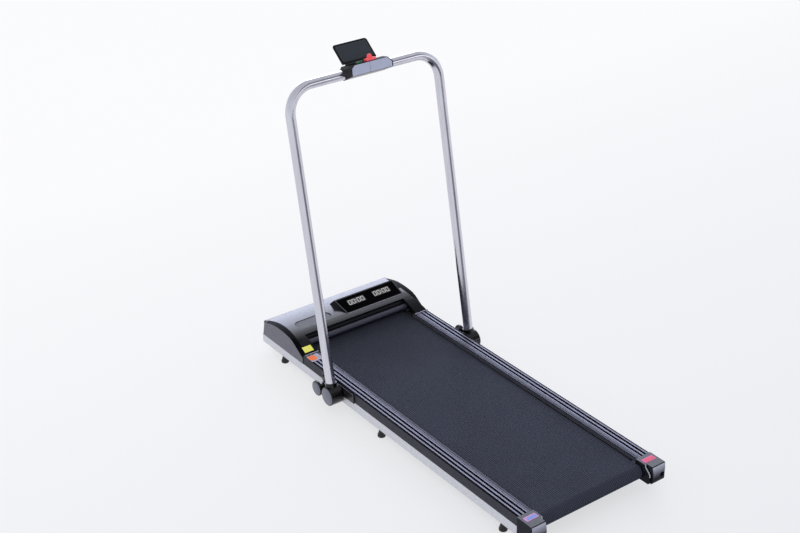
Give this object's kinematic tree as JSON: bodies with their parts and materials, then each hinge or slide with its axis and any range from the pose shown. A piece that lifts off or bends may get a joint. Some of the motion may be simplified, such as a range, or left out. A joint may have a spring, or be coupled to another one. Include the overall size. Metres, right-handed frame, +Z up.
{
  "type": "folding treadmill",
  "caption": "Slim folding treadmill: a low belt deck between grooved foot rails, a motor hood with a display, and a U-shaped handlebar with a console that folds down round the deck.",
  "frame": {"origin": "on the floor, under the middle of the deck's length and width", "axes": "+Z up, +Y towards the motor hood, where the walker faces, +X to the walker's right"},
  "size_m": [0.61, 1.422, 1.121],
  "materials": {
    "silver_steel": "satin",
    "steel": "satin",
    "dark_steel": "satin",
    "black_steel": "satin",
    "rubber": "matte",
    "deck_board": "matte",
    "belt": "fine matte texture",
    "foot_rail": "satin",
    "end_cap": "satin",
    "hood": "gloss",
    "hood_side": "satin",
    "display_window": "gloss",
    "black_plastic": "satin",
    "aluminium": "satin",
    "hub": "gloss black paint",
    "knob": "satin",
    "chrome": "satin",
    "rest_plate": "satin",
    "red_plastic": "gloss",
    "green_plastic": "gloss"
  },
  "bodies": {
    "base": {"side_beam_left": "silver_steel", "side_beam_right": "silver_steel", "nose_cross_beam": "silver_steel", "front_cross_beam": "dark_steel", "middle_cross_beam": "dark_steel", "rear_cross_beam": "dark_steel", "deck_board": "deck_board", "deck_cushion_left": "rubber", "deck_cushion_right": "rubber", "running_belt": "belt", "foot_rail_left": "foot_rail", "foot_rail_right": "foot_rail", "end_cap_left": "end_cap", "end_cap_right": "end_cap", "rear_axle": "steel", "front_axle": "steel", "foot_front_left": "rubber", "foot_front_right": "rubber", "foot_middle_left": "rubber", "foot_middle_right": "rubber", "foot_rear_left": "rubber", "foot_rear_right": "rubber", "motor_hood": "hood", "hood_side_left": "hood_side", "hood_side_right": "hood_side", "display_window": "display_window", "belly_pan": "black_plastic", "motor_case": "dark_steel", "motor_bracket": "dark_steel", "motor_controller": "aluminium", "drive_belt": "rubber", "power_inlet": "black_plastic", "hinge_bracket_left": "black_steel", "hinge_bracket_right": "black_steel", "hinge_pin_left": "steel", "hinge_pin_right": "steel"},
    "rear_roller": {"rear_roller": "steel", "rear_bearing_left": "steel", "rear_bearing_right": "steel"},
    "front_roller": {"front_roller": "steel", "front_bearing_left": "steel", "front_bearing_right": "steel", "roller_pulley": "steel"},
    "motor_rotor": {"motor_flywheel": "steel", "motor_pulley": "steel"},
    "transport_wheel_left": {"transport_wheel_left": "rubber"},
    "transport_wheel_right": {"transport_wheel_right": "rubber"},
    "tension_screw_left": {"tension_screw_left": "steel"},
    "tension_screw_right": {"tension_screw_right": "steel"},
    "rocker_switch": {"rocker_switch": "black_plastic"},
    "lock_knob_left": {"lock_knob_left": "knob"},
    "lock_knob_right": {"lock_knob_right": "knob"},
    "handlebar": {"handlebar_tube": "chrome", "hinge_arm_left": "hub", "hinge_arm_right": "hub", "console_housing": "black_plastic", "console_clamp": "black_plastic"},
    "device_rest": {"device_rest": "rest_plate"},
    "safety_key": {"safety_key": "red_plastic"},
    "start_button": {"start_button": "green_plastic"}
  },
  "joints": [
    {"name": "handlebar_fold", "type": "hinge", "parent": "base", "child": "handlebar", "pos_m": [0, 0.2385, 0.065], "axis": [1, 0, 0], "range_deg": [0, 100.3]},
    {"name": "front_roller_spin", "type": "hinge", "parent": "base", "child": "front_roller", "pos_m": [0, 0.5345, 0.066], "axis": [1, 0, 0], "continuous": true},
    {"name": "rear_roller_spin", "type": "hinge", "parent": "base", "child": "rear_roller", "pos_m": [0, -0.6555, 0.066], "axis": [1, 0, 0], "continuous": true},
    {"name": "motor_spin", "type": "hinge", "parent": "base", "child": "motor_rotor", "pos_m": [0, 0.6195, 0.078], "axis": [1, 0, 0], "continuous": true},
    {"name": "transport_wheel_left_roll", "type": "hinge", "parent": "base", "child": "transport_wheel_left", "pos_m": [-0.202, 0.6945, 0.0175], "axis": [1, 0, 0], "continuous": true},
    {"name": "transport_wheel_right_roll", "type": "hinge", "parent": "base", "child": "transport_wheel_right", "pos_m": [0.202, 0.6945, 0.0175], "axis": [1, 0, 0], "continuous": true},
    {"name": "tension_screw_left_turn", "type": "hinge", "parent": "base", "child": "tension_screw_left", "pos_m": [-0.2425, -0.7, 0.066], "axis": [0, 1, 0], "continuous": true},
    {"name": "tension_screw_right_turn", "type": "hinge", "parent": "base", "child": "tension_screw_right", "pos_m": [0.2425, -0.7, 0.066], "axis": [0, 1, 0], "continuous": true},
    {"name": "lock_knob_left_turn", "type": "hinge", "parent": "base", "child": "lock_knob_left", "pos_m": [-0.28, 0.308, 0.0595], "axis": [-1, 0, 0], "continuous": true},
    {"name": "lock_knob_right_turn", "type": "hinge", "parent": "base", "child": "lock_knob_right", "pos_m": [0.28, 0.308, 0.0595], "axis": [1, 0, 0], "continuous": true},
    {"name": "rocker_switch_rock", "type": "hinge", "parent": "base", "child": "rocker_switch", "pos_m": [-0.15, 0.694, 0.1049], "axis": [1, 0, 0], "range_deg": [0, 16]},
    {"name": "device_rest_tilt", "type": "hinge", "parent": "handlebar", "child": "device_rest", "pos_m": [0, 0.43817, 1.07074], "axis": [1, 0, 0], "range_deg": [0, 45]},
    {"name": "safety_key_pull", "type": "slide", "parent": "handlebar", "child": "safety_key", "axis": [0, 0.3252, 0.9457], "range_m": [0, 0.03]},
    {"name": "start_button_press", "type": "slide", "parent": "handlebar", "child": "start_button", "axis": [0, -0.3252, -0.9457], "range_m": [0, 0.002], "stiffness_N_per_m": 300}
  ],
  "couplings": [
    {"joint": "rear_roller_spin", "follows": "front_roller_spin", "ratio": 1},
    {"joint": "motor_spin", "follows": "front_roller_spin", "ratio": 2.7273}
  ]
}
